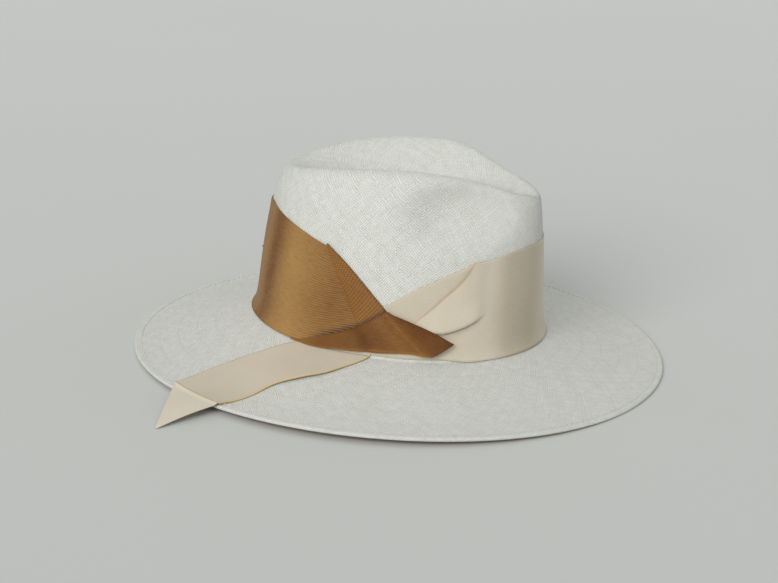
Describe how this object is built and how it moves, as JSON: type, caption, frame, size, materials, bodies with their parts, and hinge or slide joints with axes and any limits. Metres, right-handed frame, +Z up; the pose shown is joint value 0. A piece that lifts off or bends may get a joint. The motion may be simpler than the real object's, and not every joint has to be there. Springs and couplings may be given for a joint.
{
  "type": "panama hat",
  "caption": "Wide-brimmed woven straw hat with a teardrop crown, front pinch, inner sweatband and crossed grosgrain ribbons whose free ends swing.",
  "frame": {"origin": "middle of the head opening, level with the line where the crown meets the brim", "axes": "+Z up through the crown, -Y to the front of the hat, -X to the wearer's right"},
  "size_m": [0.368, 0.373, 0.1445],
  "materials": {
    "toquilla_straw": "fine woven palm straw, matt with a faint natural sheen",
    "hem_thread": "off-white cotton thread",
    "sweatband_cotton": "woven cotton grosgrain, matt",
    "band_thread": "cotton thread",
    "bow_ribbon": "narrow grosgrain ribbon",
    "tab_cloth": "blank woven tab, matt",
    "brown_grosgrain": "ribbed grosgrain ribbon with a satin sheen",
    "cream_grosgrain": "ribbed grosgrain ribbon with a soft sheen",
    "tack_thread": "brown polyester thread"
  },
  "bodies": {
    "hat": {"straw_body": "toquilla_straw", "brim_hem_stitching": "hem_thread", "sweatband": "sweatband_cotton", "sweatband_stitching": "band_thread", "sweatband_bow": "bow_ribbon", "size_tab": "tab_cloth", "brown_ribbon_band": "brown_grosgrain", "cream_ribbon_band": "cream_grosgrain", "cream_ribbon_tail": "cream_grosgrain", "ribbon_tack_stitches": "tack_thread"},
    "brown_end": {"brown_ribbon_end": "brown_grosgrain"},
    "cream_end": {"cream_ribbon_end": "cream_grosgrain"}
  },
  "joints": [
    {"name": "cream_end_swing", "type": "hinge", "parent": "hat", "child": "cream_end", "pos_m": [-0.14239, 0.0956, -0.01878], "axis": [0.5525, 0.8333, -0.0172], "range_deg": [0, 135]},
    {"name": "brown_end_lift", "type": "hinge", "parent": "hat", "child": "brown_end", "pos_m": [-0.08412, -0.01121, 0.01919], "axis": [-0.1777, 0.0202, -0.9839], "range_deg": [0, 65]}
  ]
}
